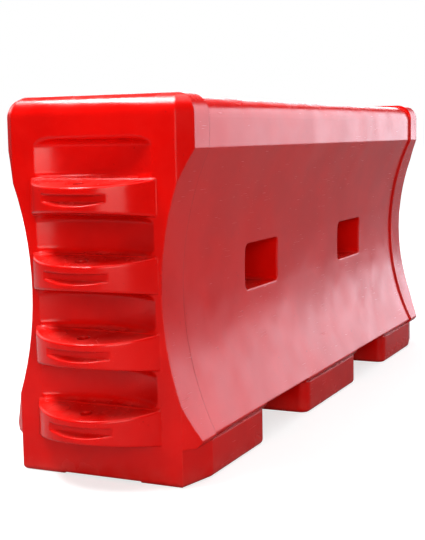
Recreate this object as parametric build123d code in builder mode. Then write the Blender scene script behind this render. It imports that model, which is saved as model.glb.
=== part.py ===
"""Water filled road barrier: a hollow moulded tank with hinge lugs, filler, drain and joining pin."""

from build123d import *
import os

os.makedirs("parts", exist_ok=True)

# ---------------------------------------------------------------- driving sizes, millimetres
# Frame: X runs along the barrier, Y across it, Z up. The origin is on the ground, mid-length.
# The end at -X carries the low lugs, the end at +X the high lugs that mate with them.

# Tank body
length = 2000            # end face to end face
height = 912             # ground to the top of the end blocks
band_half = 252          # half width of the upright band at the top
band_height = 128        # height of that band
waist_half = 176         # half width at the narrowest point of the side
flare_half = 257         # half width at the tip of the flare
flare_height = 106       # height of the flare tip
flare_nose = 6           # rounding of the flare tip
band_nose = 8            # rounding of the band's lower edge
undercut = 12            # how far the feet lie back under the flare
undercut_rise = 14       # how far the underside of the flare climbs outwards
bevel = 37               # 45 degree bevel on the flare's upright corners
bevel_extra = 4          # the cavity's bevel is this much wider, for stout corners
end_block = 112          # length of the thicker block at each end
panel_step = 6           # how far the long side lies back from the end blocks
top_step = 8             # how far the long top lies below the end blocks
top_radius = 50          # rounding along the top
wall = 7                 # moulded wall

# Feet and fork pockets
foot_radius = 13         # rounding under the feet
foot_corner = 30         # rounding of the feet's upright corners beside the pockets
pocket_length = 319      # fork pocket along X
pocket_height = 107
pocket_centre = 392      # mid-length to the middle of a fork pocket
pad_length = 84          # corner pads under each end
pad_width = 112
pad_height = 6

# Fork windows through the waist
window_length = 232
window_height = 124
window_radius = 16
window_centre = 386      # mid-length to the middle of a window
window_lift = 15         # middle of a window above the narrowest point of the side
window_mouth = 4         # rounding of the window's mouth

# Hinge lugs, alike at both ends
lug_count = 4
stack_bottom = 97        # underside of the lowest lug
stack_land = 103         # top of the highest hollow to the top of the end block
lug_gap = 3              # clearance above and below a mating lug
lug_margin = 8           # lug's side to the waist's side
lug_reach = 106          # how far the lug stands out
lug_sink = 2             # how far the lug's root starts behind the end face
lug_draft = 15           # each face of the lug closes in by this much at the tip
lug_edge = 5             # rounding of the lug's edges
lug_bead = 5             # radius of the bead along the root of the lug's top
recess_margin = 17       # hollow's side to the waist's side
recess_depth = 45        # hollow behind each space between lugs
recess_cove = 18         # cove round the back of the hollow
recess_mouth = 10        # rounding of the hollow's mouth
slot_depth = 21          # shallow grip in the lug's rounded front
slot_height = 28
slot_fall = 12           # how far the grip's floor falls towards the front
slot_lip = 3             # rounding of the grip's mouth
slot_drop = 46           # middle of the grip below the root of the lug's top

# Joining pin and its bores
pin_radius = 12.5
bore_clearance = 1.5
bore_reach = 57          # end face to the pin's axis
bore_wall = 8
pin_tail = 20            # pin below the lowest lug of the barrier it joins
pin_point = 6            # lead-in taper on the pin's tip
pin_head = 20            # pin above the underside of its collar
pin_break = 1            # broken edge round the pin's top
seat_radius = 28         # flat seat under the washer
seat_stand = 1           # least height of the seat above the lug
washer_radius = 26
washer_height = 4
washer_clearance = 0.4
collar_radius = 20       # collar welded round the pin
collar_height = 12
collar_break = 2         # broken edge round the collar's top
eye_rod = 6              # radius of the rod bent into the lifting eye
eye_radius = 30          # middle of the rod to the middle of the eye
eye_sink = 3             # how far the eye sits in the pin's top

# Filler on top
filler_radius = 50       # water way
neck_wall = 6
neck_depth = 24          # neck below the floor of its dish
neck_stand = 18          # neck above the floor of its dish
thread_height = 2        # crest of the neck's thread above the neck
neck_flange = 16
neck_flange_height = 5
flange_gap = 1           # above the flange, below the thread and the cap
dish_radius = 96
dish_depth = 36
cap_clearance = 0.4
cap_wall = 5
cap_top = 6
cap_rib_count = 24
cap_rib_radius = 3
cap_bar_length = 90
cap_bar_width = 12
cap_bar_height = 7
gasket_height = 3

# Drain in the middle foot, on the +Y side
drain_radius = 17        # water way
drain_height = 50        # axis above the ground
drain_insert_wall = 5
drain_insert_depth = 24
drain_flange = 9
drain_flange_height = 4
drain_dish_margin = 3    # round the insert's flange
drain_dish_depth = 18
plug_clearance = 0.4
plug_shank = 16
plug_lead = 2            # lead-in taper on the shank
plug_head_margin = 10    # plug's head past its shank's bore
plug_head_height = 5
plug_key = 18            # across the flats of the square key on the plug's head
plug_key_height = 5
plug_key_edge = 1        # rounding of the key's top
ring_margin = 1          # how far the sealing ring lies inside the plug's head
ring_height = 3

# ---------------------------------------------------------------- sizes that follow
tolerance = 0.01         # two places closer than this are one
margin = 1               # how far a cut runs past what it cuts
half_length = length / 2
band_bottom = height - band_height
waist_height = (band_bottom + flare_height) / 2
foot_top = flare_height - undercut_rise
base_half = flare_half - undercut
end_half = flare_half - bevel
block_start = half_length - end_block
lug_pitch = (height - stack_land - stack_bottom) / lug_count
lug_root = lug_pitch / 2 - lug_gap
lug_space = lug_pitch - lug_root
lug_half = waist_half - lug_margin
low_tops = [stack_bottom + lug_root + lug_pitch * i for i in range(lug_count)]
high_tops = [top + lug_gap + lug_root for top in low_tops]
lug_arc = (lug_half**2 + lug_reach**2) / (2 * lug_reach)
recess_half = waist_half - recess_margin
recess_arc = (recess_half**2 + recess_depth**2) / (2 * recess_depth)
bore_radius = pin_radius + bore_clearance
bore_x = half_length + bore_reach
panel_top = height - top_step
foot_inner = pocket_centre - pocket_length / 2
foot_outer = pocket_centre + pocket_length / 2
window_z = waist_height + window_lift
seat_top = high_tops[-1] - lug_draft * (bore_reach - seat_radius) / lug_reach + seat_stand
dish_floor = panel_top - dish_depth
neck_radius = filler_radius + neck_wall
neck_top = dish_floor + neck_stand
thread_bottom = dish_floor + neck_flange_height + flange_gap
cap_bore = neck_radius + thread_height + cap_clearance
drain_floor = base_half - drain_dish_depth
drain_sleeve = drain_radius + drain_insert_wall
drain_dish_radius = drain_sleeve + drain_flange + drain_dish_margin
plug_head_radius = drain_radius + plug_head_margin
pin_bottom = stack_bottom - pin_tail
collar_bottom = seat_top + washer_height
pin_top = collar_bottom + pin_head
eye_z = pin_top - eye_sink + eye_rod + eye_radius
pin_plane = Plane((bore_x, 0, 0))
drain_plane = Plane((0, drain_floor, drain_height), x_dir=(1, 0, 0), z_dir=(0, 1, 0))
upwards = (Align.CENTER, Align.CENTER, Align.MIN)
downwards = (Align.CENTER, Align.CENTER, Align.MAX)


# ---------------------------------------------------------------- tank
def body_section(step, drop, inset):
    """Cross-section above the feet, stepped back at the sides, dropped at the top and inset by a wall."""
    with BuildSketch(Plane.YZ) as section:
        with BuildLine():
            foot = Polyline((0, foot_top), (base_half - step, foot_top), (flare_half - step, flare_height))
            waist = (waist_half - step, waist_height)
            side = ThreePointArc(foot @ 1, waist, (band_half - step, band_bottom))
            Polyline(side @ 1, (band_half - step, height - drop), (0, height - drop), (0, foot_top))
        make_face()
        mirror(about=Plane.YZ)
        if inset:
            offset(amount=-inset, kind=Kind.INTERSECTION)
        else:
            tips = section.vertices().filter_by(lambda corner: abs(corner.X) > band_half - step - margin)
            fillet(tips.filter_by(lambda corner: corner.Y < waist_height), flare_nose)
            edge = section.vertices().filter_by(lambda corner: abs(corner.Y - band_bottom) < margin)
            fillet(edge, band_nose)
    return section.sketch


def bevelled_plan(inset, corner):
    """Plan of the whole body, inset by a wall, with its four bevelled corners."""
    with BuildSketch(Plane.XY) as plan:
        Rectangle(length - 2 * inset, 2 * (flare_half - inset))
        chamfer(plan.vertices(), corner)
    return plan.sketch


def end_blocks():
    """The two thick end blocks, beveled at their upright corners and rounded over the top."""
    with BuildPart() as blocks:
        extrude(body_section(0, 0, 0), amount=half_length, both=True)
        extrude(bevelled_plan(0, bevel), amount=height, mode=Mode.INTERSECT)
        Box(2 * block_start, 2 * flare_half, height, align=(Align.CENTER, Align.CENTER, Align.MIN),
            mode=Mode.SUBTRACT)
        rim = blocks.faces().filter_by(Axis.Z).group_by(Axis.Z)[-1].edges()
        fillet([edge for edge in rim if abs(edge.center().X) > block_start + margin], top_radius)
    return blocks.part


def long_middle():
    """The stretch between the end blocks, lying back at the sides and lower on top."""
    with BuildPart() as middle:
        extrude(body_section(panel_step, top_step, 0), amount=block_start + margin, both=True)
        rim = middle.faces().filter_by(Axis.Z).group_by(Axis.Z)[-1].edges()
        fillet(rim.filter_by(Axis.X), top_radius)
    return middle.part


def middle_foot(inset):
    """The foot between the fork pockets."""
    with BuildPart(Plane.XY.offset(inset)) as block:
        Box(2 * (foot_inner - inset), 2 * (base_half - inset), foot_top, align=upwards)
        fillet(block.edges().filter_by(Axis.Z), foot_corner - inset)
        fillet(block.faces().sort_by(Axis.Z)[0].edges(), foot_radius - inset)
    return block.part


def end_foot(side, inset):
    """The foot under one end, tapering to the flat end face."""
    first = side * (foot_outer + inset)
    last = side * (half_length - inset)
    taper = side * block_start
    base = base_half - inset
    face = end_half - inset
    with BuildPart() as block:
        with BuildSketch(Plane.XY.offset(inset)):
            with BuildLine():
                Polyline((first, -base), (taper, -base), (last, -face),
                         (last, face), (taper, base), (first, base), close=True)
            make_face()
        extrude(amount=foot_top)
        fillet(block.edges().filter_by(Axis.Z).filter_by_position(Axis.X, first - margin, first + margin),
               foot_corner - inset)
        fillet(block.faces().sort_by(Axis.Z)[0].edges(), foot_radius - inset)
    return block.part


def fork_pockets(grow):
    """The two ways for forks under the body."""
    with BuildPart() as through:
        with Locations((-pocket_centre, 0), (pocket_centre, 0)):
            Box(pocket_length + 2 * grow, 2 * flare_half, pocket_height + grow, align=upwards)
    return through.part


def fork_windows(grow):
    """The two ways for forks or straps through the waist."""
    with BuildPart() as through:
        with BuildSketch(Plane.XZ):
            with Locations((-window_centre, window_z), (window_centre, window_z)):
                RectangleRounded(window_length + 2 * grow, window_height + 2 * grow, window_radius + grow)
        extrude(amount=flare_half, both=True)
    return through.part


def lug(side, top, inset):
    """D-shaped hinge lug; top is the height of its upper face at the end face."""
    root = half_length - inset - lug_sink
    slope = lug_draft / lug_reach
    tip = half_length + lug_reach
    rise = slope * (half_length - root)
    bottom = top - lug_root
    with BuildPart() as body:
        with BuildSketch(Plane.XY.offset(bottom - lug_draft)):
            with Locations((side * (tip - lug_arc), 0)):
                Circle(lug_arc - inset)
            with Locations((side * (root + lug_reach), 0)):
                Rectangle(2 * lug_reach, 2 * lug_arc, mode=Mode.INTERSECT)
        extrude(amount=lug_root + 2 * lug_draft)
        with BuildSketch(Plane.XZ):
            with BuildLine():
                Polyline((side * root, top - inset + rise), (side * tip, top - inset - lug_draft),
                         (side * tip, bottom + inset + lug_draft), (side * root, bottom + inset - rise),
                         close=True)
            make_face()
        extrude(amount=lug_arc, both=True, mode=Mode.INTERSECT)
        if not inset:
            rims = body.edges().filter_by(lambda edge: abs((edge @ 0.5).X) > half_length + lug_reach / 2)
            fillet(rims, lug_edge)
            before = body.edges()
            add(grip_slot(side, top, 0), mode=Mode.SUBTRACT)
            slot_back = tip - slot_depth
            mouth = [edge for edge in body.edges() - before if abs((edge @ 0.5).X) > slot_back + margin]
            fillet(mouth, slot_lip)
    return body.part


def root_bead(side, top):
    """Rounded bead along the line where the lug's top meets the end face."""
    line = Plane((side * half_length, lug_half, top - lug_bead / 2), x_dir=(1, 0, 0), z_dir=(0, -1, 0))
    with BuildPart(line) as bead:
        Cylinder(lug_bead, 2 * lug_half, align=upwards)
        fillet(bead.edges(), lug_bead - margin)
    return bead.part


def recess(side, bottom, grow):
    """Hollow scooped into the end face where a mating lug comes, grown by a wall for the cavity."""
    with BuildPart() as scoop:
        with BuildSketch(Plane.XY.offset(bottom - grow)):
            with Locations((side * (half_length - recess_depth + recess_arc), 0)):
                Circle(recess_arc + grow)
            with Locations((side * (half_length + margin - recess_arc), 0)):
                Rectangle(2 * recess_arc, 3 * recess_arc, mode=Mode.INTERSECT)
        extrude(amount=lug_space + 2 * grow)
        fillet(scoop.edges().filter_by(GeomType.CIRCLE), recess_cove + grow)
    return scoop.part


def grip_slot(side, top, grow):
    """Shallow grip cut across the lug's rounded front, its floor falling forwards."""
    back = half_length + lug_reach - slot_depth - grow
    front = half_length + lug_reach + lug_edge
    roof = top - slot_drop + slot_height / 2 + grow
    floor = top - slot_drop - slot_height / 2 - grow
    with BuildPart() as slot:
        with BuildSketch(Plane.XZ):
            with BuildLine():
                Polyline((side * back, roof), (side * front, roof), (side * front, floor),
                         (side * back, floor + slot_fall), close=True)
            make_face()
        extrude(amount=lug_half, both=True)
    return slot.part


def lug_bores(grow):
    """The upright bores of both ends as two long rods."""
    with BuildPart() as rods:
        with Locations((-bore_x, 0), (bore_x, 0)):
            Cylinder(bore_radius + grow, height, align=upwards)
    return rods.part


def pin_seat():
    """Flat seat for the washer on the highest lug."""
    with BuildPart(pin_plane.offset(seat_top)) as seat:
        Cylinder(seat_radius, lug_draft, align=downwards)
    return seat.part


def filler_dish(grow):
    """Round dish in the top that keeps the cap below the top face."""
    with BuildPart(Plane.XY.offset(dish_floor - grow)) as dish:
        Cylinder(dish_radius + grow, 2 * dish_depth, align=upwards)
    return dish.part


def drain_dish(grow):
    """Round dish in the side of the middle foot that keeps the plug below the surface."""
    with BuildPart(drain_plane.offset(-grow)) as dish:
        Cylinder(drain_dish_radius + grow, drain_dish_depth + undercut + grow, align=upwards)
    return dish.part


def cavity():
    """The water space: body, feet and lugs inset by one wall, less a wall round whatever passes through."""
    with BuildPart() as space:
        extrude(body_section(panel_step, top_step, wall), amount=half_length, both=True)
        extrude(bevelled_plan(wall, bevel + bevel_extra), amount=height, mode=Mode.INTERSECT)
        top_edges = space.faces().filter_by(Axis.Z).group_by(Axis.Z)[-1].edges()
        fillet(top_edges, top_radius - wall)
        add(middle_foot(wall))
        for side in (-1, 1):
            add(end_foot(side, wall))
        add(fork_pockets(wall), mode=Mode.SUBTRACT)
        add(fork_windows(wall), mode=Mode.SUBTRACT)
        for side, tops in ((-1, low_tops), (1, high_tops)):
            for top in tops:
                hollow = top if side < 0 else top - lug_root - lug_space
                add(recess(side, hollow, wall), mode=Mode.SUBTRACT)
        for side, tops in ((-1, low_tops), (1, high_tops)):
            for top in tops:
                add(lug(side, top, wall))
                add(grip_slot(side, top, wall), mode=Mode.SUBTRACT)
        add(lug_bores(bore_wall), mode=Mode.SUBTRACT)
        add(filler_dish(wall), mode=Mode.SUBTRACT)
        add(drain_dish(wall), mode=Mode.SUBTRACT)
    return space.part


def at_hollow_mouth(edge):
    """True for an edge where a hollow opens in an end face."""
    ends = [edge @ 0, edge @ 1]
    on_face = all(abs(abs(point.X) - half_length) < tolerance for point in ends)
    inside = all(abs(point.Y) < recess_half + tolerance and point.Z < height - top_radius for point in ends)
    return on_face and inside


def at_window_mouth(edge):
    """True for an edge where a window opens in a long side."""
    middle = edge @ 0.5
    across = abs(abs(middle.X) - window_centre) < window_length / 2 + tolerance
    upright = abs(middle.Z - window_z) < window_height / 2 + tolerance
    return across and upright and abs((edge @ 0).Y - (edge @ 1).Y) < window_height / 2


with BuildPart() as tank_shell:
    add(end_blocks())
    add(long_middle())
    for side, tops in ((-1, low_tops), (1, high_tops)):
        for top in tops:
            hollow = top if side < 0 else top - lug_root - lug_space
            add(recess(side, hollow, 0), mode=Mode.SUBTRACT)
    fillet(tank_shell.edges().filter_by(at_hollow_mouth), recess_mouth)
    add(fork_windows(0), mode=Mode.SUBTRACT)
    fillet(tank_shell.edges().filter_by(at_window_mouth), window_mouth)
    add(middle_foot(0))
    for side in (-1, 1):
        add(end_foot(side, 0))
    add(fork_pockets(0), mode=Mode.SUBTRACT)
    for side, tops in ((-1, low_tops), (1, high_tops)):
        for top in tops:
            add(lug(side, top, 0))
            add(root_bead(side, top))
    for side in (-1, 1):
        with Locations((side * half_length, 0, 0)):
            Box(2 * pad_length, 2 * (end_half - pad_width), pad_height, align=upwards, mode=Mode.SUBTRACT)
    add(pin_seat())
    add(lug_bores(0), mode=Mode.SUBTRACT)
    add(filler_dish(0), mode=Mode.SUBTRACT)
    add(drain_dish(0), mode=Mode.SUBTRACT)
    add(cavity(), mode=Mode.SUBTRACT)
    with Locations((0, 0, dish_floor - wall - margin)):
        Cylinder(neck_radius, wall + 2 * margin, align=upwards, mode=Mode.SUBTRACT)
    with Locations(drain_plane.offset(margin).location):
        Cylinder(drain_sleeve, wall + 2 * margin, align=downwards, mode=Mode.SUBTRACT)
tank_shell.part.label = "tank_shell"
export_step(tank_shell.part, "parts/tank_shell.step")


# ---------------------------------------------------------------- filler
with BuildPart() as filler_neck:
    with BuildSketch(Plane.XZ):
        with BuildLine():
            Polyline((filler_radius, dish_floor - neck_depth), (neck_radius, dish_floor - neck_depth),
                     (neck_radius, dish_floor), (neck_radius + neck_flange, dish_floor),
                     (neck_radius + neck_flange, dish_floor + neck_flange_height),
                     (neck_radius, dish_floor + neck_flange_height),
                     (neck_radius, thread_bottom),
                     (neck_radius + thread_height, thread_bottom + thread_height),
                     (neck_radius + thread_height, neck_top - 2 * thread_height),
                     (neck_radius, neck_top - thread_height), (neck_radius, neck_top),
                     (filler_radius, neck_top), close=True)
        make_face()
    revolve(axis=Axis.Z)
filler_neck.part.label = "filler_neck"
export_step(filler_neck.part, "parts/filler_neck.step")

with BuildPart(Plane.XY.offset(neck_top)) as cap_gasket:
    Cylinder(cap_bore - 2 * cap_clearance, gasket_height, align=upwards)
    Cylinder(filler_radius, gasket_height, align=upwards, mode=Mode.SUBTRACT)
cap_gasket.part.label = "cap_gasket"
export_step(cap_gasket.part, "parts/cap_gasket.step")

with BuildPart(Plane.XY.offset(thread_bottom)) as filler_cap:
    skirt = neck_top + gasket_height - thread_bottom
    Cylinder(cap_bore + cap_wall, skirt + cap_top, align=upwards)
    fillet(filler_cap.faces().sort_by(Axis.Z)[-1].edges(), cap_top / 2)
    with PolarLocations(cap_bore + cap_wall, cap_rib_count):
        Cylinder(cap_rib_radius, skirt, align=upwards)
    Cylinder(cap_bore, skirt, align=upwards, mode=Mode.SUBTRACT)
    with Locations((0, 0, skirt + cap_top)):
        Box(cap_bar_length, cap_bar_width, cap_bar_height, align=upwards)
    bar_edges = filler_cap.faces().sort_by(Axis.Z)[-1].edges()
    fillet(bar_edges, cap_bar_height / 3)
filler_cap.part.label = "filler_cap"
export_step(filler_cap.part, "parts/filler_cap.step")


# ---------------------------------------------------------------- drain
with BuildPart(drain_plane) as drain_insert:
    Cylinder(drain_sleeve, drain_insert_depth, align=downwards)
    Cylinder(drain_sleeve + drain_flange, drain_flange_height, align=upwards)
    Cylinder(drain_radius, 2 * (drain_insert_depth + margin), mode=Mode.SUBTRACT)
drain_insert.part.label = "drain_insert"
export_step(drain_insert.part, "parts/drain_insert.step")

with BuildPart(drain_plane.offset(drain_flange_height)) as drain_seal:
    Cylinder(plug_head_radius - ring_margin, ring_height, align=upwards)
    Cylinder(drain_radius, ring_height, align=upwards, mode=Mode.SUBTRACT)
drain_seal.part.label = "drain_seal"
export_step(drain_seal.part, "parts/drain_seal.step")

with BuildPart(drain_plane.offset(drain_flange_height + ring_height)) as drain_plug:
    Cylinder(drain_radius - plug_clearance, plug_shank + ring_height, align=downwards)
    chamfer(drain_plug.faces().sort_by(Axis.Y)[0].edges(), plug_lead)
    Cylinder(plug_head_radius, plug_head_height, align=upwards)
    fillet(drain_plug.faces().sort_by(Axis.Y)[-1].edges(), plug_head_height / 3)
    with Locations((0, 0, plug_head_height)):
        Box(plug_key, plug_key, plug_key_height, align=upwards)
    fillet(drain_plug.faces().sort_by(Axis.Y)[-1].edges(), plug_key_edge)
drain_plug.part.label = "drain_plug"
export_step(drain_plug.part, "parts/drain_plug.step")


# ---------------------------------------------------------------- joining pin
with BuildPart(pin_plane.offset(eye_z)) as lifting_eye:
    Torus(eye_radius, eye_rod, rotation=(90, 0, 0))
lifting_eye.part.label = "lifting_eye"
export_step(lifting_eye.part, "parts/lifting_eye.step")

with BuildPart() as joining_pin:
    with Locations((bore_x, 0, pin_bottom)):
        Cylinder(pin_radius, pin_top - pin_bottom, align=upwards)
    chamfer(joining_pin.faces().sort_by(Axis.Z)[0].edges(), pin_point)
    chamfer(joining_pin.faces().sort_by(Axis.Z)[-1].edges(), pin_break)
    add(lifting_eye.part, mode=Mode.SUBTRACT)
joining_pin.part.label = "joining_pin"
export_step(joining_pin.part, "parts/joining_pin.step")

with BuildPart(pin_plane.offset(collar_bottom)) as pin_collar:
    Cylinder(collar_radius, collar_height, align=upwards)
    chamfer(pin_collar.faces().sort_by(Axis.Z)[-1].edges(), collar_break)
    Cylinder(pin_radius, collar_height, align=upwards, mode=Mode.SUBTRACT)
pin_collar.part.label = "pin_collar"
export_step(pin_collar.part, "parts/pin_collar.step")

with BuildPart(pin_plane.offset(seat_top)) as pin_washer:
    Cylinder(washer_radius, washer_height, align=upwards)
    Cylinder(pin_radius + washer_clearance, washer_height, align=upwards, mode=Mode.SUBTRACT)
pin_washer.part.label = "pin_washer"
export_step(pin_washer.part, "parts/pin_washer.step")
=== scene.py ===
"""Water filled road barrier: finishes, threaded fittings, welded pin and a plain studio around the CAD frame.

Metres throughout, in the frame of the CAD: X runs along the barrier, Y across it, Z up from the ground.
"""

import logging
import math
from dataclasses import dataclass
from enum import Enum
from typing import Any, Mapping, Sequence

import bmesh
import bpy
from mathutils import Matrix, Vector


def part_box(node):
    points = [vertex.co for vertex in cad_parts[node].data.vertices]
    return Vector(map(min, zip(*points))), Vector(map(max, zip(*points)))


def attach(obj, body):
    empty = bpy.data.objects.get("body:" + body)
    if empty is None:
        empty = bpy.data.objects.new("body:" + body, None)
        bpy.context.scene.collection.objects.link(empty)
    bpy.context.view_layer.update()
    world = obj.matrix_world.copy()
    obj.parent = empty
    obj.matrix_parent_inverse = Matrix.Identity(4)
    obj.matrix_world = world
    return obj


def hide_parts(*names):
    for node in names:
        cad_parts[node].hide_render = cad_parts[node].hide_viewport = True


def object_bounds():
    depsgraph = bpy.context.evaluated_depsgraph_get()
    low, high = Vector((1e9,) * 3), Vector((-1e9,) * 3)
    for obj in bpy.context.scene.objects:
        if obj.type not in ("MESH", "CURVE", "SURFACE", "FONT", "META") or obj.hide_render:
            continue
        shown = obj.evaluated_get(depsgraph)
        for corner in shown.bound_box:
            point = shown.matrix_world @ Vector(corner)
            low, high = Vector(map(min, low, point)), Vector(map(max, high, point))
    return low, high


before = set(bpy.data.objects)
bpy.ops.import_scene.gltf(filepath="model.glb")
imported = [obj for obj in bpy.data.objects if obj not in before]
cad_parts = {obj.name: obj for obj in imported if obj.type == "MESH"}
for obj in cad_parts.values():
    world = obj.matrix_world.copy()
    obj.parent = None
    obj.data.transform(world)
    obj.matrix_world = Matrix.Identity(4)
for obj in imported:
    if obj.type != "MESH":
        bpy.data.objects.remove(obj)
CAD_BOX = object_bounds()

LOG = logging.getLogger("barrier")
MM = 0.001
FULL_TURN = 2 * math.pi
ON_AXIS = 1e-6          # a radius below this is on the axis
EDGE_STARTS = 0.985     # cosine between true and softened normal where an edge begins
EDGE_FULL = 0.85        # and where it is full
THREAD_SINK = 0.1 * MM  # how far a thread's root sits in its cylinder


# ---------------------------------------------------------------- small tools
def linear(hex_colour: str) -> tuple[float, float, float, float]:
    """Turns an sRGB hex colour into the linear colour that a shader takes.

    Args:
        hex_colour: Colour such as "#C81E14".

    Returns:
        Linear red, green and blue, and an alpha of 1.
    """
    parts = [int(hex_colour[i:i + 2], 16) / 255 for i in (1, 3, 5)]
    red, green, blue = (p / 12.92 if p <= 0.04045 else ((p + 0.055) / 1.055) ** 2.4 for p in parts)
    return red, green, blue, 1.0


def add_node(tree: bpy.types.NodeTree, kind: str, settings: Mapping[str, Any] | None = None,
             links: Mapping[Any, Any] | None = None) -> bpy.types.Node:
    """Adds one node to a tree, with its settings and its inputs.

    Args:
        tree: Shader or geometry tree.
        kind: The node's type name.
        settings: Attribute name to value.
        links: Input name or index to a plain value, or to the output socket that feeds it.

    Returns:
        The new node.
    """
    node = tree.nodes.new(kind)
    for name, value in (settings or {}).items():
        setattr(node, name, value)
    for key, value in (links or {}).items():
        if isinstance(value, bpy.types.NodeSocket):
            tree.links.new(value, node.inputs[key])
        else:
            node.inputs[key].default_value = value
    return node


def new_object(name: str, mesh: bpy.types.Mesh) -> bpy.types.Object:
    """Puts a mesh in the scene as an object at the origin, unturned and unscaled."""
    made = bpy.data.objects.new(name, mesh)
    bpy.context.scene.collection.objects.link(made)
    return made


def smooth(mesh: bpy.types.Mesh, angle_deg: float = 35.0) -> None:
    """Shades a mesh smooth, with sharp edges only where faces meet at more than an angle."""
    mesh.shade_smooth()
    mesh.set_sharp_from_angle(angle=math.radians(angle_deg))


# ---------------------------------------------------------------- patterns shared by the finishes
@dataclass
class Surface:
    """A material while its nodes are laid: its tree, its coordinates and the patterns that finishes share."""

    name: str

    def __post_init__(self) -> None:
        """Starts an empty tree with an output and object coordinates."""
        self.material = bpy.data.materials.new(self.name)
        self.material.use_nodes = True
        self.tree = self.material.node_tree
        self.tree.nodes.clear()
        self.output = add_node(self.tree, "ShaderNodeOutputMaterial")
        self.place = add_node(self.tree, "ShaderNodeTexCoord").outputs["Object"]

    def patches(self, size_mm: float, low: float, high: float, detail: float = 3.0, seed: float = 0.0,
                stretch: tuple[float, float, float] = (1.0, 1.0, 1.0)) -> bpy.types.NodeSocket:
        """Soft-edged patches from 0 to 1.

        Args:
            size_mm: Size of one patch.
            low: Noise level where a patch starts.
            high: Noise level where a patch is full.
            detail: Octaves of finer noise.
            seed: Shifts the pattern, so that two patterns of one size differ.
            stretch: Lengthens the patches along each axis.

        Returns:
            The socket that carries the pattern.
        """
        scale = tuple(1 / factor for factor in stretch)
        moved = add_node(self.tree, "ShaderNodeMapping", {"vector_type": "POINT"},
                         {"Vector": self.place, "Location": (seed, seed * 0.7, seed * 1.3), "Scale": scale})
        noise = add_node(self.tree, "ShaderNodeTexNoise", {},
                         {"Vector": moved.outputs[0], "Scale": 1000 / size_mm, "Detail": detail})
        spread = add_node(self.tree, "ShaderNodeMapRange", {"interpolation_type": "SMOOTHSTEP"},
                          {"Value": noise.outputs["Fac"], "From Min": low, "From Max": high})
        return spread.outputs["Result"]

    def times(self, first: Any, second: Any) -> bpy.types.NodeSocket:
        """The product of two sockets or numbers."""
        step = add_node(self.tree, "ShaderNodeMath", {"operation": "MULTIPLY"}, {0: first, 1: second})
        return step.outputs[0]

    def plus(self, first: Any, second: Any) -> bpy.types.NodeSocket:
        """The sum of two sockets or numbers."""
        step = add_node(self.tree, "ShaderNodeMath", {"operation": "ADD"}, {0: first, 1: second})
        return step.outputs[0]

    def scaled(self, pattern: bpy.types.NodeSocket, factor: float, least: float) -> bpy.types.NodeSocket:
        """A pattern times a factor, on top of a least value."""
        step = add_node(self.tree, "ShaderNodeMath", {"operation": "MULTIPLY_ADD"},
                        {0: pattern, 1: factor, 2: least})
        return step.outputs[0]

    def blend(self, amount: bpy.types.NodeSocket, under: Any, over: Any) -> bpy.types.NodeSocket:
        """Lays one colour over another by an amount from 0 to 1."""
        mix = add_node(self.tree, "ShaderNodeMix", {"data_type": "RGBA"}, {0: amount, 6: under, 7: over})
        return mix.outputs[2]

    def relief(self, height: bpy.types.NodeSocket, depth_mm: float,
               under: bpy.types.NodeSocket | None = None) -> bpy.types.NodeSocket:
        """Raises the surface by a pattern, on top of the relief below it."""
        links = {"Height": height, "Distance": depth_mm * MM, "Strength": 1.0}
        if under is not None:
            links["Normal"] = under
        return add_node(self.tree, "ShaderNodeBump", {}, links).outputs["Normal"]

    def edges(self, radius_mm: float) -> tuple[bpy.types.NodeSocket, bpy.types.NodeSocket]:
        """Finds the edges of the shape.

        Args:
            radius_mm: Radius that softens an edge.

        Returns:
            The softened normal, and a mask that is 1 on a sharp edge and 0 on a flat.
        """
        soft = add_node(self.tree, "ShaderNodeBevel", {"samples": 4}, {"Radius": radius_mm * MM}).outputs[0]
        plain = add_node(self.tree, "ShaderNodeNewGeometry").outputs["Normal"]
        cosine = add_node(self.tree, "ShaderNodeVectorMath", {"operation": "DOT_PRODUCT"},
                          {0: soft, 1: plain})
        mask = add_node(self.tree, "ShaderNodeMapRange", {},
                        {"Value": cosine.outputs["Value"], "From Min": EDGE_STARTS, "From Max": EDGE_FULL})
        return soft, mask.outputs["Result"]

    def facing_up(self, start: float, full: float) -> bpy.types.NodeSocket:
        """A mask that is 1 where the surface faces upwards."""
        normal = add_node(self.tree, "ShaderNodeNewGeometry").outputs["Normal"]
        parts = add_node(self.tree, "ShaderNodeSeparateXYZ", {}, {0: normal})
        mask = add_node(self.tree, "ShaderNodeMapRange", {"interpolation_type": "SMOOTHSTEP"},
                        {"Value": parts.outputs["Z"], "From Min": start, "From Max": full})
        return mask.outputs["Result"]

    def below(self, height_mm: float) -> bpy.types.NodeSocket:
        """A mask that is 1 on the ground and fades out at a height above it."""
        parts = add_node(self.tree, "ShaderNodeSeparateXYZ", {}, {0: self.place})
        mask = add_node(self.tree, "ShaderNodeMapRange", {"interpolation_type": "SMOOTHSTEP"},
                        {"Value": parts.outputs["Z"], "From Min": height_mm * MM, "From Max": 0.0})
        return mask.outputs["Result"]

    def finish(self, colour: Any, roughness: Any, normal: bpy.types.NodeSocket,
               constants: Mapping[str, float]) -> bpy.types.Material:
        """Closes the tree with its shader.

        Args:
            colour: Base colour, as a value or a socket.
            roughness: Roughness, as a value or a socket.
            normal: The relief's normal.
            constants: Shader inputs that are the same all over the surface.

        Returns:
            The finished material.
        """
        links = {"Base Color": colour, "Roughness": roughness, "Normal": normal, **constants}
        shader = add_node(self.tree, "ShaderNodeBsdfPrincipled", {}, links)
        self.tree.links.new(shader.outputs[0], self.output.inputs["Surface"])
        return self.material


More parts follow.
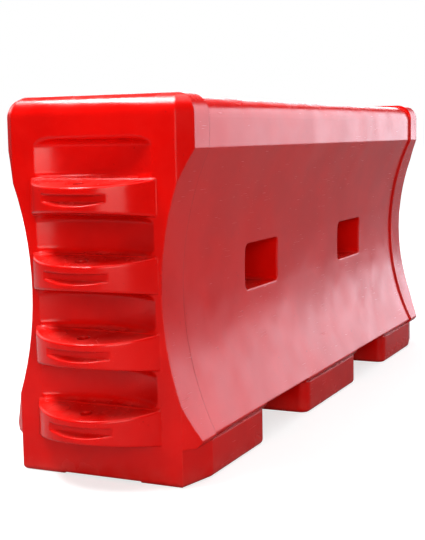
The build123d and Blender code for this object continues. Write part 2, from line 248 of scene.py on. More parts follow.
# ---------------------------------------------------------------- finishes
@dataclass(frozen=True)
class RotomouldedPolyethylene:
    """Red rotomoulded polyethylene: a waxy gloss over a wall that cooled a little unevenly."""

    name: str = "rotomoulded_lldpe_red"
    colour: str = "#D40B04"
    dense: str = "#C30703"
    worn: str = "#DD4A3F"
    nick: str = "#7D0B08"
    dust: str = "#CDB7AE"
    gloss: float = 0.17
    ior: float = 1.51
    shine: float = 0.3

    def material(self) -> bpy.types.Material:
        """Waves of the cooled wall, mould grain, rubbed edges, hairline scratches, nicks and road dust."""
        skin = Surface(self.name)
        soft, edge = skin.edges(radius_mm=5)
        pigment = skin.patches(size_mm=170, low=0.35, high=0.65, seed=3)
        mottle = skin.patches(size_mm=22, low=0.3, high=0.75, detail=5, seed=8)
        colour = skin.blend(skin.times(pigment, 0.55), linear(self.colour), linear(self.dense))
        colour = skin.blend(skin.times(mottle, 0.03), colour, linear(self.worn))

        rubbed_where = skin.patches(size_mm=34, low=0.42, high=0.62, detail=6, seed=5)
        rubbed = skin.times(edge, rubbed_where)
        colour = skin.blend(skin.times(rubbed, 0.4), colour, linear(self.worn))

        # Hairlines run mostly along the barrier, where others slid past it.
        hairline = skin.patches(size_mm=2.6, low=0.69, high=0.73, detail=2, seed=11, stretch=(26, 1, 1))
        handled = skin.patches(size_mm=240, low=0.45, high=0.62, seed=14)
        scratched = skin.times(hairline, handled)
        colour = skin.blend(skin.times(scratched, 0.3), colour, linear(self.worn))

        nicks = skin.patches(size_mm=9, low=0.735, high=0.76, detail=1, seed=21)
        knocked = skin.times(nicks, skin.patches(size_mm=130, low=0.5, high=0.6, seed=23))
        colour = skin.blend(skin.times(knocked, 0.35), colour, linear(self.nick))

        settled = skin.times(skin.facing_up(0.5, 0.95), 0.06)
        splashed = skin.times(skin.below(60), 0.06)
        film = skin.times(skin.plus(settled, splashed),
                           skin.patches(size_mm=60, low=0.25, high=0.7, detail=6, seed=31))
        colour = skin.blend(film, colour, linear(self.dust))

        uneven = skin.patches(size_mm=95, low=0.3, high=0.7, detail=4, seed=41)
        rough = skin.scaled(uneven, 0.10, self.gloss)
        rough = skin.plus(rough, skin.times(film, 0.8))
        rough = skin.plus(rough, skin.times(scratched, 0.2))

        waves = skin.patches(size_mm=210, low=0.0, high=1.0, detail=1, seed=51)
        grain = skin.patches(size_mm=3.5, low=0.0, high=1.0, detail=3, seed=55)
        normal = skin.relief(waves, depth_mm=2.6, under=soft)
        normal = skin.relief(grain, depth_mm=0.06, under=normal)
        normal = skin.relief(knocked, depth_mm=-0.3, under=normal)
        return skin.finish(colour, rough, normal, {"IOR": self.ior, "Specular IOR Level": self.shine})


@dataclass(frozen=True)
class MouldedPlastic:
    """Injection moulded polyolefin or nylon: a fine spark-eroded grain with duller rubbed corners."""

    name: str
    colour: str
    worn: str
    gloss: float = 0.42
    ior: float = 1.49

    def material(self) -> bpy.types.Material:
        """Spark-eroded grain, rubbed corners and a film of dust in the open."""
        skin = Surface(self.name)
        soft, edge = skin.edges(radius_mm=0.8)
        colour = skin.blend(skin.patches(size_mm=14, low=0.3, high=0.8, detail=4, seed=2),
                            linear(self.colour), linear(self.worn))
        rubbed = skin.times(edge, skin.patches(size_mm=7, low=0.35, high=0.6, detail=5, seed=4))
        colour = skin.blend(skin.times(rubbed, 0.6), colour, linear("#6E6A66"))
        dusty = skin.times(skin.facing_up(0.4, 0.9),
                            skin.patches(size_mm=18, low=0.35, high=0.75, detail=6, seed=6))
        colour = skin.blend(skin.times(dusty, 0.28), colour, linear("#8E857B"))
        rough = skin.scaled(dusty, 0.25, self.gloss)
        grain = skin.patches(size_mm=0.9, low=0.0, high=1.0, detail=2, seed=9)
        return skin.finish(colour, rough, skin.relief(grain, 0.04, soft), {"IOR": self.ior})


@dataclass(frozen=True)
class MouldedRubber:
    """Pressed EPDM: a matt black with a bloom of wax on its faces."""

    name: str = "pressed_epdm_black"
    colour: str = "#151516"
    bloom: str = "#3A3A3B"

    def material(self) -> bpy.types.Material:
        """Grey bloom in patches over a matt, slightly pebbled face."""
        skin = Surface(self.name)
        colour = skin.blend(skin.patches(size_mm=8, low=0.35, high=0.8, detail=5, seed=1),
                            linear(self.colour), linear(self.bloom))
        pebble = skin.patches(size_mm=1.1, low=0.2, high=0.8, detail=2, seed=3)
        return skin.finish(colour, 0.72, skin.relief(pebble, 0.05), {"IOR": 1.52})


@dataclass(frozen=True)
class ZincCoatedSteel:
    """Steel under zinc: dull silver with crystals from the bath, and a white bloom where it has weathered."""

    name: str
    crystal_mm: float
    bright: str = "#B9BDC1"
    dull: str = "#8B9197"
    bloom: str = "#C9CBC9"
    gloss: float = 0.34

    def material(self) -> bpy.types.Material:
        """Spangle, drawing lines along the bar, bloom and rubbed bright edges."""
        skin = Surface(self.name)
        soft, edge = skin.edges(radius_mm=0.6)
        cells = add_node(skin.tree, "ShaderNodeTexVoronoi", {},
                         {"Vector": skin.place, "Scale": 1000 / self.crystal_mm, "Randomness": 1.0})
        shade = add_node(skin.tree, "ShaderNodeSeparateColor", {}, {0: cells.outputs["Color"]}).outputs[0]
        colour = skin.blend(shade, linear(self.dull), linear(self.bright))
        bloom = skin.patches(size_mm=12, low=0.5, high=0.72, detail=6, seed=7)
        colour = skin.blend(skin.times(bloom, 0.45), colour, linear(self.bloom))
        colour = skin.blend(skin.times(edge, 0.5), colour, linear("#D5D8DA"))
        rough = skin.scaled(shade, 0.16, self.gloss)
        rough = skin.plus(rough, skin.times(bloom, 0.25))
        drips = skin.patches(size_mm=5, low=0.1, high=0.9, detail=3, seed=12, stretch=(1, 1, 5))
        return skin.finish(colour, rough, skin.relief(drips, 0.12, soft), {"Metallic": 1.0})


# ---------------------------------------------------------------- turned shapes
def rounded(outline: Sequence[tuple[float, float, float]], steps: int = 5) -> list[tuple[float, float]]:
    """Rounds the corners of a closed outline.

    Args:
        outline: Corners as two places and the radius that rounds the corner, 0 for a sharp one.
        steps: Points along each rounded corner.

    Returns:
        The points of the rounded outline.
    """
    points: list[tuple[float, float]] = []
    count = len(outline)
    for index, (x, y, radius) in enumerate(outline):
        here = Vector((x, y))
        back = Vector(outline[index - 1][:2]) - here
        ahead = Vector(outline[(index + 1) % count][:2]) - here
        if radius == 0:
            points.append((x, y))
            continue
        half_angle = back.angle(ahead) / 2
        reach = radius / math.tan(half_angle)
        start = here + back.normalized() * reach
        stop = here + ahead.normalized() * reach
        centre = here + (back.normalized() + ahead.normalized()).normalized() * radius / math.sin(half_angle)
        first, last = start - centre, stop - centre
        for step in range(steps + 1):
            points.append(tuple(centre + first.slerp(last, step / steps).normalized() * radius))
    return points


def turned(name: str, outline: Sequence[tuple[float, float]], place: Matrix,
           steps: int = 96) -> bpy.types.Mesh:
    """Turns a closed outline round an axis.

    Args:
        name: The mesh's name.
        outline: Radius and height of each point, all the way round the section.
        place: Puts the axis, which is Z at first, where it belongs.
        steps: Faces round the axis.

    Returns:
        A closed mesh with its faces outwards.
    """
    shape = bmesh.new()
    rings = []
    for radius, height in outline:
        if radius < ON_AXIS:
            rings.append([shape.verts.new((0, 0, height))] * steps)
            continue
        angles = [FULL_TURN * step / steps for step in range(steps)]
        rings.append([shape.verts.new((radius * math.cos(a), radius * math.sin(a), height)) for a in angles])
    for index, ring in enumerate(rings):
        after = rings[(index + 1) % len(rings)]
        for step in range(steps):
            following = (step + 1) % steps
            corners = [ring[step], ring[following], after[following], after[step]]
            unique = list(dict.fromkeys(corners))
            if len(unique) > 2:
                shape.faces.new(unique)
    bmesh.ops.recalc_face_normals(shape, faces=shape.faces[:])
    shape.transform(place)
    mesh = bpy.data.meshes.new(name)
    shape.to_mesh(mesh)
    shape.free()
    smooth(mesh)
    return mesh


def softened_box(size: Vector, centre: Vector, radius: float, place: Matrix) -> bmesh.types.BMesh:
    """A box with all its edges rounded, for grips and keys."""
    shape = bmesh.new()
    bmesh.ops.create_cube(shape, size=1.0)
    bmesh.ops.scale(shape, vec=size, verts=shape.verts[:])
    bmesh.ops.bevel(shape, geom=shape.edges[:], offset=radius, segments=4, profile=0.5, affect="EDGES")
    bmesh.ops.translate(shape, vec=centre, verts=shape.verts[:])
    shape.transform(place)
    return shape


def joined(mesh: bpy.types.Mesh, addition: bmesh.types.BMesh) -> None:
    """Adds another closed shape to a mesh and frees it."""
    extra = bpy.data.meshes.new("addition")
    addition.to_mesh(extra)
    addition.free()
    whole = bmesh.new()
    whole.from_mesh(mesh)
    whole.from_mesh(extra)
    whole.to_mesh(mesh)
    whole.free()
    bpy.data.meshes.remove(extra)
    smooth(mesh)


# ---------------------------------------------------------------- geometry node trees
class Socket(Enum):
    """Kinds of input that the trees take."""

    GEOMETRY = "NodeSocketGeometry"
    LENGTH = "NodeSocketFloat"
    COUNT = "NodeSocketInt"
    PLACE = "NodeSocketVector"
    FINISH = "NodeSocketMaterial"


@dataclass
class Pattern:
    """A geometry node tree with named inputs, which adds repeated shapes to the mesh it is put on."""

    name: str
    inputs: Mapping[str, Socket]

    def __post_init__(self) -> None:
        """Starts the tree with its interface."""
        self.tree = bpy.data.node_groups.new(self.name, "GeometryNodeTree")
        face = self.tree.interface
        face.new_socket("Body", in_out="INPUT", socket_type=Socket.GEOMETRY.value)
        face.new_socket("Shape", in_out="OUTPUT", socket_type=Socket.GEOMETRY.value)
        for name, kind in self.inputs.items():
            face.new_socket(name, in_out="INPUT", socket_type=kind.value)
        self.given = add_node(self.tree, "NodeGroupInput").outputs

    def close(self, addition: bpy.types.NodeSocket) -> None:
        """Ends the tree: the addition is smooth, real and in its finish, and joins the body."""
        shaded = add_node(self.tree, "GeometryNodeSetShadeSmooth", {}, {"Geometry": addition})
        both = add_node(self.tree, "GeometryNodeJoinGeometry", {}, {0: shaded.outputs[0]})
        self.tree.links.new(self.given["Body"], both.inputs[0])
        real = add_node(self.tree, "GeometryNodeRealizeInstances", {}, {0: both.outputs[0]})
        dressed = add_node(self.tree, "GeometryNodeSetMaterial", {},
                           {"Geometry": real.outputs[0], "Material": self.given["Finish"]})
        add_node(self.tree, "NodeGroupOutput", {}, {0: dressed.outputs[0]})

    def apply(self, mesh: bpy.types.Mesh, values: Mapping[str, Any]) -> bpy.types.Mesh:
        """Runs the tree on a mesh.

        Args:
            mesh: The body that the pattern joins.
            values: Input name to value.

        Returns:
            A plain mesh of both.
        """
        carrier = new_object("carrier", mesh)
        modifier = carrier.modifiers.new("pattern", "NODES")
        modifier.node_group = self.tree
        items = [item for item in self.tree.interface.items_tree if item.in_out == "INPUT"]
        sockets = {item.name: item.identifier for item in items}
        for name, value in values.items():
            modifier[sockets[name]] = value
        carrier.update_tag()
        graph = bpy.context.evaluated_depsgraph_get()
        result = bpy.data.meshes.new_from_object(carrier.evaluated_get(graph))
        bpy.data.objects.remove(carrier)
        return result


def thread_pattern() -> Pattern:
    """A trapezoid thread that winds up a cylinder and fades out at both ends."""
    pattern = Pattern("screw_thread", {
        "Radius": Socket.LENGTH, "Pitch": Socket.LENGTH, "Turns": Socket.LENGTH, "Depth": Socket.LENGTH,
        "Root": Socket.LENGTH, "Crest": Socket.LENGTH, "Start": Socket.PLACE, "Turned": Socket.PLACE,
        "Finish": Socket.FINISH})
    tree, given = pattern.tree, pattern.given
    rise = add_node(tree, "ShaderNodeMath", {"operation": "MULTIPLY"}, {0: given["Pitch"], 1: given["Turns"]})
    helix = add_node(tree, "GeometryNodeCurveSpiral", {},
                     {"Resolution": 64, "Rotations": given["Turns"], "Start Radius": given["Radius"],
                      "End Radius": given["Radius"], "Height": rise.outputs[0], "Reverse": False})
    along = add_node(tree, "GeometryNodeSplineParameter").outputs["Factor"]
    from_end = add_node(tree, "ShaderNodeMath", {"operation": "PINGPONG"}, {0: along, 1: 0.5})
    fade = add_node(tree, "ShaderNodeMapRange", {"interpolation_type": "SMOOTHSTEP"},
                    {"Value": from_end.outputs[0], "From Min": 0.0, "From Max": 0.08, "To Min": 0.15})
    profile = add_node(tree, "GeometryNodeCurvePrimitiveQuadrilateral", {"mode": "TRAPEZOID"},
                       {"Height": given["Depth"], "Bottom Width": given["Root"], "Top Width": given["Crest"],
                        "Offset": 0.0})
    upright = add_node(tree, "GeometryNodeSetCurveNormal", {"mode": "Z_UP"}, {"Curve": helix.outputs[0]})
    ridge = add_node(tree, "GeometryNodeCurveToMesh", {},
                     {"Curve": upright.outputs[0], "Profile Curve": profile.outputs[0],
                      "Scale": fade.outputs["Result"], "Fill Caps": True})
    placed = add_node(tree, "GeometryNodeTransform", {},
                      {"Geometry": ridge.outputs[0], "Translation": given["Start"],
                       "Rotation": given["Turned"]})
    pattern.close(placed.outputs[0])
    return pattern


def rib_pattern() -> Pattern:
    """Half-round grip ribs, evenly spaced round a skirt, narrower at their top."""
    pattern = Pattern("grip_ribs", {
        "Ribs": Socket.COUNT, "Ring": Socket.LENGTH, "Rib": Socket.LENGTH, "Height": Socket.LENGTH,
        "Start": Socket.PLACE, "Finish": Socket.FINISH})
    tree, given = pattern.tree, pattern.given
    ring = add_node(tree, "GeometryNodeMeshCircle", {"fill_type": "NONE"},
                    {"Vertices": given["Ribs"], "Radius": given["Ring"]})
    taper = add_node(tree, "ShaderNodeMath", {"operation": "MULTIPLY"}, {0: given["Rib"], 1: 0.82})
    rib = add_node(tree, "GeometryNodeMeshCone", {"fill_type": "TRIANGLE_FAN"},
                   {"Vertices": 18, "Side Segments": 2, "Radius Top": taper.outputs[0],
                    "Radius Bottom": given["Rib"], "Depth": given["Height"]})
    dome = add_node(tree, "GeometryNodeMeshUVSphere", {},
                    {"Segments": 18, "Rings": 8, "Radius": taper.outputs[0]})
    lift = add_node(tree, "ShaderNodeCombineXYZ", {}, {"Z": given["Height"]})
    domed = add_node(tree, "GeometryNodeTransform", {},
                     {"Geometry": dome.outputs[0], "Translation": lift.outputs[0], "Scale": (1.0, 1.0, 0.5)})
    one = add_node(tree, "GeometryNodeJoinGeometry", {}, {0: rib.outputs[0]})
    tree.links.new(domed.outputs[0], one.inputs[0])
    ribs = add_node(tree, "GeometryNodeInstanceOnPoints", {},
                    {"Points": ring.outputs[0], "Instance": one.outputs[0]})
    placed = add_node(tree, "GeometryNodeTransform", {},
                      {"Geometry": ribs.outputs[0], "Translation": given["Start"]})
    pattern.close(placed.outputs[0])
    return pattern


def weld_pattern() -> Pattern:
    """A hand-laid weld round an oval: overlapping ripples, each a little different."""
    pattern = Pattern("weld_bead", {
        "Ripples": Socket.COUNT, "Bead": Socket.LENGTH, "Oval": Socket.PLACE, "Centre": Socket.PLACE,
        "Finish": Socket.FINISH})
    tree, given = pattern.tree, pattern.given
    ring = add_node(tree, "GeometryNodeMeshCircle", {"fill_type": "NONE"},
                    {"Vertices": given["Ripples"], "Radius": 1.0})
    oval = add_node(tree, "GeometryNodeTransform", {},
                    {"Geometry": ring.outputs[0], "Scale": given["Oval"], "Translation": given["Centre"]})
    ripple = add_node(tree, "GeometryNodeMeshUVSphere", {},
                      {"Segments": 12, "Rings": 8, "Radius": given["Bead"]})
    varied = add_node(tree, "FunctionNodeRandomValue", {"data_type": "FLOAT_VECTOR"},
                      {"Min": (0.85, 0.85, 0.7), "Max": (1.12, 1.12, 0.95), "Seed": 7})
    ripples = add_node(tree, "GeometryNodeInstanceOnPoints", {},
                       {"Points": oval.outputs[0], "Instance": ripple.outputs[0], "Scale": varied.outputs[0]})
    pattern.close(ripples.outputs[0])
    return pattern


# ---------------------------------------------------------------- sub-assemblies
@dataclass(frozen=True)
class Workshop:
    """The finishes and patterns that the sub-assemblies share."""

    shell: bpy.types.Material
    nylon: bpy.types.Material
    polypropylene: bpy.types.Material
    rubber: bpy.types.Material
    galvanised: bpy.types.Material
    plated: bpy.types.Material
    thread: Pattern
    ribs: Pattern
    weld: Pattern

    @classmethod
    def open(cls) -> "Workshop":
        """Makes every finish and pattern once."""
        nylon = MouldedPlastic("injection_moulded_nylon_black", "#1B1B1D", "#242427", gloss=0.48)
        plated = ZincCoatedSteel("zinc_plated_steel", crystal_mm=1.2, bright="#C6C9CC", gloss=0.26)
        return cls(
            shell=RotomouldedPolyethylene().material(),
            nylon=nylon.material(),
            polypropylene=MouldedPlastic("injection_moulded_pp_black", "#141416", "#1E1E21").material(),
            rubber=MouldedRubber().material(),
            galvanised=ZincCoatedSteel("hot_dip_galvanised_steel", crystal_mm=6).material(),
            plated=plated.material(),
            thread=thread_pattern(), ribs=rib_pattern(), weld=weld_pattern())


def dress(node: str, finish: bpy.types.Material) -> None:
    """Gives a CAD node its finish."""
    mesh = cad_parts[node].data
    mesh.materials.clear()
    mesh.materials.append(finish)
    LOG.info("%s keeps its CAD shape, in %s", node, finish.name)


def put(mesh: bpy.types.Mesh, name: str, body: str, finish: bpy.types.Material,
        node: str) -> None:
    """Hands a finished piece over to its body, in place of the CAD node that it details.

    Args:
        mesh: The piece's mesh, already in its place.
        name: The piece's name.
        body: CAD body that it rides on.
        finish: Its material.
        node: CAD node that it stands for.
    """
    mesh.name = name
    mesh.materials.clear()
    mesh.materials.append(finish)
    piece = new_object(name, mesh)
    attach(piece, body)
    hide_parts(node)
    LOG.info("%s has %d faces and rides on %s", name, len(mesh.polygons), body)


@dataclass
class Tank:
    """The moulded tank: the CAD shell in its rotomoulded skin."""

    shop: Workshop

    def build(self) -> None:
        """Dresses the shell."""
        dress("tank_shell", self.shop.shell)


@dataclass
class Filler:
    """Threaded neck, gasket and screw cap in the dish on top of the tank. Sizes in metres."""

    shop: Workshop
    water_way: float = 0.050
    neck_wall: float = 0.006
    flange_height: float = 0.005
    pitch: float = 0.006
    thread_depth: float = 0.002
    thread_root: float = 0.0026
    thread_crest: float = 0.0012
    thread_turns: float = 1.4
    thread_start: float = 0.0012
    cap_gap: float = 0.001
    cap_play: float = 0.0004
    cap_wall: float = 0.005
    cap_top: float = 0.006
    rim_width: float = 0.010
    rim_slope: float = 0.002
    dished: float = 0.0012
    rib_radius: float = 0.003
    rib_free: float = 0.004
    rib_count: int = 24
    bar_size: tuple[float, float, float] = (0.090, 0.012, 0.007)

    def neck(self) -> None:
        """The neck: a flanged sleeve with a little under one and a half turns of thread."""
        low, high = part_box("filler_neck")
        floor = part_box("filler_cap")[0].z - self.flange_height - self.cap_gap
        outside = self.water_way + self.neck_wall
        flange_top = floor + self.flange_height
        outline = rounded([
            (self.water_way, low.z, 0.001), (outside, low.z, 0.001), (outside, floor, 0),
            (high.x, floor, 0.0005), (high.x, flange_top, 0.0015), (outside, flange_top, 0.001),
            (outside, high.z, 0.0015), (self.water_way, high.z, 0.0015)])
        mesh = turned("neck", outline, Matrix.Identity(4))
        start = flange_top + self.thread_start
        mesh = self.shop.thread.apply(mesh, {
            "Radius": outside + self.thread_depth / 2 - THREAD_SINK, "Pitch": self.pitch,
            "Turns": self.thread_turns,
            "Depth": self.thread_depth, "Root": self.thread_root, "Crest": self.thread_crest,
            "Start": (0, 0, start), "Turned": (0, 0, 0), "Finish": self.shop.nylon})
        put(mesh, "filler_neck_threaded", "tank", self.shop.nylon, "filler_neck")

    def cap(self) -> None:
        """The cap: a domed disc on a ribbed skirt, with a raised bar to turn it by."""
        low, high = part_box("filler_cap")
        gasket_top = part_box("cap_gasket")[1].z
        bore = self.water_way + self.neck_wall + self.thread_depth + self.cap_play
        outside = bore + self.cap_wall
        top = gasket_top + self.cap_top
        outline = rounded([
            (0, gasket_top, 0), (bore, gasket_top, 0), (bore, low.z, 0.001), (outside, low.z, 0.001),
            (outside, top, 0.003), (outside - self.rim_width, top, 0.0006),
            (outside - self.rim_width - self.rim_slope, top - self.dished, 0.0006),
            (0, top - self.dished, 0)])
        mesh = turned("cap", outline, Matrix.Identity(4))
        length, width, height = self.bar_size
        bar_height = height + self.dished + MM
        centre = Vector((0, 0, high.z - bar_height / 2))
        bar = softened_box(Vector((length, width, bar_height)), centre, height / 3, Matrix.Identity(4))
        joined(mesh, bar)
        skirt = top - low.z - self.rib_free
        mesh = self.shop.ribs.apply(mesh, {
            "Ribs": self.rib_count, "Ring": outside, "Rib": self.rib_radius, "Height": skirt,
            "Start": (0, 0, low.z), "Finish": self.shop.polypropylene})
        put(mesh, "filler_cap_ribbed", "cap", self.shop.polypropylene, "filler_cap")

    def build(self) -> None:
        """Builds the neck and the cap, and dresses the gasket."""
        self.neck()
        self.cap()
        dress("cap_gasket", self.shop.rubber)


@dataclass
class Drain:
    """Threaded insert, seal and keyed plug in the middle foot. Sizes in metres."""

    shop: Workshop
    water_way: float = 0.017
    sleeve_wall: float = 0.005
    flange_height: float = 0.004
    plug_core: float = 0.0154
    plug_crest: float = 0.0166
    pitch: float = 0.004
    thread_root: float = 0.0024
    thread_crest: float = 0.0009
    thread_start: float = 0.0015
    thread_free: float = 0.003
    head_height: float = 0.005
    key: float = 0.018

    def axis(self) -> Matrix:
        """Turns a shape's Z onto the drain's axis, +Y, at the height of the drain."""
        low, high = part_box("drain_insert")
        return Matrix.Translation((0, 0, (low.z + high.z) / 2)) @ Matrix.Rotation(-math.pi / 2, 4, "X")

    def insert(self) -> None:
        """The insert: a flanged sleeve."""
        low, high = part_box("drain_insert")
        sleeve = self.water_way + self.sleeve_wall
        flange = (high.x - low.x) / 2
        shoulder = high.y - self.flange_height
        outline = rounded([
            (self.water_way, low.y, 0.0008), (sleeve, low.y, 0.0008), (sleeve, shoulder, 0),
            (flange, shoulder, 0.0004), (flange, high.y, 0.0012), (self.water_way, high.y, 0.0008)])
        mesh = turned("insert", outline, self.axis(), steps=72)
        put(mesh, "drain_insert_sleeve", "tank", self.shop.nylon, "drain_insert")

    def plug(self) -> None:
        """The plug: a threaded shank under a domed head with a square key."""
        low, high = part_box("drain_plug")
        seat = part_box("drain_seal")[1].y
        head = (high.x - low.x) / 2
        face = seat + self.head_height
        outline = rounded([
            (0, low.y, 0), (self.plug_core, low.y, 0.0015), (self.plug_core, seat, 0),
            (head, seat, 0.0005), (head, face, 0.0016), (self.key / 2, face, 0), (0, face, 0)])
        mesh = turned("plug", outline, Matrix.Identity(4), steps=72)
        key_height = high.y - face + MM
        centre = Vector((0, 0, high.y - key_height / 2))
        key = softened_box(Vector((self.key, self.key, key_height)), centre, MM, Matrix.Identity(4))
        joined(mesh, key)
        turns = (seat - low.y - self.thread_free) / self.pitch
        depth = self.plug_crest - self.plug_core
        mesh = self.shop.thread.apply(mesh, {
            "Radius": self.plug_core + depth / 2 - THREAD_SINK, "Pitch": self.pitch, "Turns": turns,
            "Depth": depth, "Root": self.thread_root, "Crest": self.thread_crest,
            "Start": (0, 0, low.y + self.thread_start), "Turned": (0, 0, 0),
            "Finish": self.shop.polypropylene})
        mesh.transform(self.axis())
        put(mesh, "drain_plug_threaded", "plug", self.shop.polypropylene, "drain_plug")

    def build(self) -> None:
        """Builds the insert and the plug, and dresses the seal."""
        self.insert()
        self.plug()
        dress("drain_seal", self.shop.rubber)


@dataclass
class JoiningPin:
    """Galvanised pin with a welded collar and lifting eye, over a loose washer. Sizes in metres."""

    shop: Workshop
    bead: float = 0.0028
    ripples: int = 26
    eye_ripples: int = 20
    eye_weld: tuple[float, float, float] = (0.0095, 0.0062, 1.0)
    rod_sides: int = 24

    def collar(self) -> None:
        """The collar: a turned ring with its weld to the pin."""
        low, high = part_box("pin_collar")
        pin_low, pin_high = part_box("joining_pin")
        outside = (high.x - low.x) / 2
        bore = (pin_high.x - pin_low.x) / 2
        centre_x = (low.x + high.x) / 2
        outline = rounded([
            (bore, low.z, 0), (outside, low.z, 0.001), (outside, high.z - 0.001, 0.0012),
            (outside - 0.0015, high.z, 0.0008), (bore, high.z, 0)])
        mesh = turned("collar", outline, Matrix.Translation((centre_x, 0, 0)))
        ring = bore + self.bead * 0.45
        mesh = self.shop.weld.apply(mesh, {
            "Ripples": self.ripples, "Bead": self.bead, "Oval": (ring, ring, 1.0),
            "Centre": (centre_x, 0, high.z), "Finish": self.shop.galvanised})
        put(mesh, "pin_collar_welded", "pin", self.shop.galvanised, "pin_collar")

    def eye(self) -> None:
        """The lifting eye: a bent rod welded across the pin's top."""
        low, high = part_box("lifting_eye")
        rod = (high.y - low.y) / 2
        ring = (high.x - low.x) / 2 - rod
        angles = [FULL_TURN * side / self.rod_sides for side in range(self.rod_sides)]
        section = [(ring + rod * math.cos(angle), rod * math.sin(angle)) for angle in angles]
        centre = (low + high) / 2
        place = Matrix.Translation(centre) @ Matrix.Rotation(math.pi / 2, 4, "X")
        mesh = turned("eye", section, place, steps=128)
        pin_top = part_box("joining_pin")[1].z
        mesh = self.shop.weld.apply(mesh, {
            "Ripples": self.eye_ripples, "Bead": self.bead, "Oval": self.eye_weld,
            "Centre": (centre.x, 0, pin_top), "Finish": self.shop.galvanised})
        put(mesh, "lifting_eye_welded", "pin", self.shop.galvanised, "lifting_eye")

    def build(self) -> None:
        """Builds the collar and the eye, and dresses the pin and the washer."""
        self.collar()
        self.eye()
        dress("joining_pin", self.shop.galvanised)
        dress("pin_washer", self.shop.plated)


# ---------------------------------------------------------------- studio
@dataclass(frozen=True)
class SoftBox:
    """A rectangular soft light. Sizes in metres, power in watts."""

    name: str
    place: tuple[float, float, float]
    aim: tuple[float, float, float]
    size: tuple[float, float]
    power: float
    colour: str

    def hang(self) -> None:
        """Puts the light in the scene, aimed at its target."""
        light = bpy.data.lights.new(self.name, "AREA")
        light.shape = "RECTANGLE"
        light.size, light.size_y = self.size
        light.energy = self.power
        light.color = linear(self.colour)[:3]
        lamp = bpy.data.objects.new(self.name, light)
        bpy.context.scene.collection.objects.link(lamp)
        lamp.location = self.place
        towards = Vector(self.aim) - Vector(self.place)
        lamp.rotation_euler = towards.to_track_quat("-Z", "Y").to_euler()
        lamp.visible_camera = False
        LOG.info("%s hung at %s", self.name, self.place)


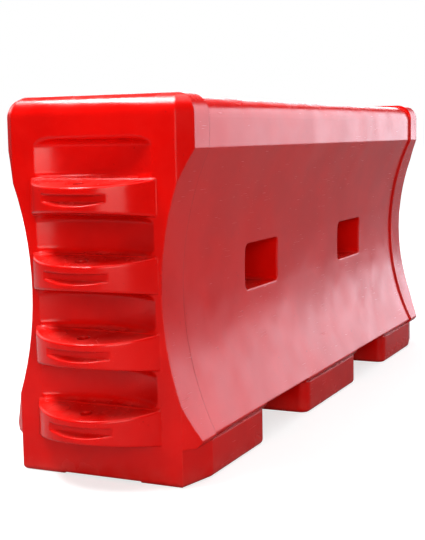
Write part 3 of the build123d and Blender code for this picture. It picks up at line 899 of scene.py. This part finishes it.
@dataclass(frozen=True)
class Studio:
    """Plain pale floor, soft lights and the camera."""

    floor_radius: float = 60.0
    floor_glow: float = 0.72
    glow_near: float = 1.2
    glow_far: float = 7.0
    contrast: float = 0.87
    end_face: float = 0.106
    stand_off: float = 2.248
    side_step: float = -1.353
    eye_height: float = 0.811
    yaw_deg: float = 24.99
    pitch_deg: float = 6.81
    roll_deg: float = 1.04
    focal_length_mm: float = 74.73
    sensor_mm: float = 36.0

    def floor(self) -> None:
        """A wide round floor of matt pale card."""
        shape = bmesh.new()
        bmesh.ops.create_circle(shape, cap_ends=True, segments=96, radius=self.floor_radius)
        mesh = bpy.data.meshes.new("studio_floor")
        shape.to_mesh(mesh)
        shape.free()
        card = Surface("matt_white_card")
        fibre = card.patches(size_mm=6, low=0.2, high=0.8, detail=4, seed=1)
        tone = card.blend(card.times(fibre, 0.1), linear("#9A9A9A"), linear("#929292"))
        skin = card.finish(tone, 0.9, card.relief(fibre, 0.05), {"Emission Color": linear("#FFFFFF")})
        self.lit_from_below(skin)
        mesh.materials.append(skin)
        new_object("studio_floor", mesh)

    def lit_from_below(self, card: bpy.types.Material) -> None:
        """Lights the floor for the eye, more with distance, so that it runs into the white backdrop."""
        tree = card.node_tree
        shader = next(node for node in tree.nodes if node.type == "BSDF_PRINCIPLED")
        place = add_node(tree, "ShaderNodeTexCoord").outputs["Object"]
        away = add_node(tree, "ShaderNodeVectorMath", {"operation": "LENGTH"}, {0: place}).outputs["Value"]
        glow = add_node(tree, "ShaderNodeMapRange", {},
                        {"Value": away, "From Min": self.glow_near, "From Max": self.glow_far,
                         "To Min": self.floor_glow, "To Max": 1.0})
        seen = add_node(tree, "ShaderNodeLightPath").outputs["Is Camera Ray"]
        power = add_node(tree, "ShaderNodeMath", {"operation": "MULTIPLY"},
                         {0: glow.outputs[0], 1: seen})
        tree.links.new(power.outputs[0], shader.inputs["Emission Strength"])

    def air(self) -> None:
        """The pale room: brighter behind the subject than it lights it."""
        world = bpy.data.worlds.new("room")
        bpy.context.scene.world = world
        world.use_nodes = True
        tree = world.node_tree
        tree.nodes.clear()
        seen = add_node(tree, "ShaderNodeLightPath").outputs["Is Camera Ray"]
        fill = add_node(tree, "ShaderNodeBackground", {}, {"Color": linear("#F2F4F8"), "Strength": 0.12})
        backdrop = add_node(tree, "ShaderNodeBackground", {}, {"Color": linear("#FFFFFF"), "Strength": 1.0})
        both = add_node(tree, "ShaderNodeMixShader", {},
                        {0: seen, 1: fill.outputs[0], 2: backdrop.outputs[0]})
        add_node(tree, "ShaderNodeOutputWorld", {}, {0: both.outputs[0]})

    def lights(self) -> None:
        """Banks overhead and beyond the far end, which the top and side mirror, a strip and two fills."""
        for box in (
            SoftBox("overhead_bank", (-0.3, -0.6, 4.2), (0.0, 0.0, 0.5), (5.0, 3.4), 135.0, "#FFFFFF"),
            SoftBox("overhead_strip", (-1.5, 1.6, 4.2), (-0.9, 0.0, 0.6), (2.6, 0.8), 260.0, "#FFFFFF"),
            SoftBox("far_bank", (6.0, -3.6, 1.9), (0.2, -0.2, 0.5), (6.0, 3.6), 230.0, "#F0F4FF"),
            SoftBox("horizon_bank", (7.5, 3.6, 2.2), (0.5, 0.0, 0.9), (6.0, 3.4), 260.0, "#F6F8FF"),
            SoftBox("near_fill", (-4.8, -2.5, 1.5), (-1.0, 0.0, 0.5), (3.2, 2.4), 165.0, "#FFF8F0"),
            SoftBox("back_fill", (1.0, 5.0, 3.0), (0.0, 0.0, 0.4), (4.0, 3.0), 70.0, "#FFFFFF"),
        ):
            box.hang()

    def camera(self) -> None:
        """The camera, standing off the near end and a step to its side."""
        yaw, pitch, roll = (math.radians(a) for a in (self.yaw_deg, self.pitch_deg, self.roll_deg))
        level = Vector((math.cos(yaw), math.sin(yaw), 0))
        ahead = level * math.cos(pitch) - Vector((0, 0, math.sin(pitch)))
        right = Vector((math.sin(yaw), -math.cos(yaw), 0))
        down = ahead.cross(right)
        right_rolled = right * math.cos(roll) + down * math.sin(roll)
        down_rolled = down * math.cos(roll) - right * math.sin(roll)
        lens = bpy.data.cameras.new("camera")
        lens.lens = self.focal_length_mm
        lens.sensor_width = self.sensor_mm
        lens.sensor_fit = "AUTO"
        lens.clip_end = 4 * self.floor_radius
        body = bpy.data.objects.new("camera", lens)
        bpy.context.scene.collection.objects.link(body)
        near_face = CAD_BOX[0].x + self.end_face
        turn = Matrix((right_rolled, -down_rolled, -ahead)).transposed().to_4x4()
        eye = Matrix.Translation((near_face - self.stand_off, self.side_step, self.eye_height))
        body.matrix_world = eye @ turn
        bpy.context.scene.camera = body

    def build(self) -> None:
        """Sets up the floor, the room, the lights and the camera."""
        self.floor()
        self.air()
        self.lights()
        self.camera()
        settings = bpy.context.scene.view_settings
        settings.view_transform = "Standard"
        settings.gamma = self.contrast
        LOG.info("studio is ready")


def main() -> None:
    """Builds every sub-assembly and the studio."""
    logging.basicConfig(level=logging.INFO, format="%(name)s: %(message)s")
    shop = Workshop.open()
    for assembly in (Tank(shop), Filler(shop), Drain(shop), JoiningPin(shop)):
        assembly.build()
    Studio().build()


if __name__ == "__main__":
    main()
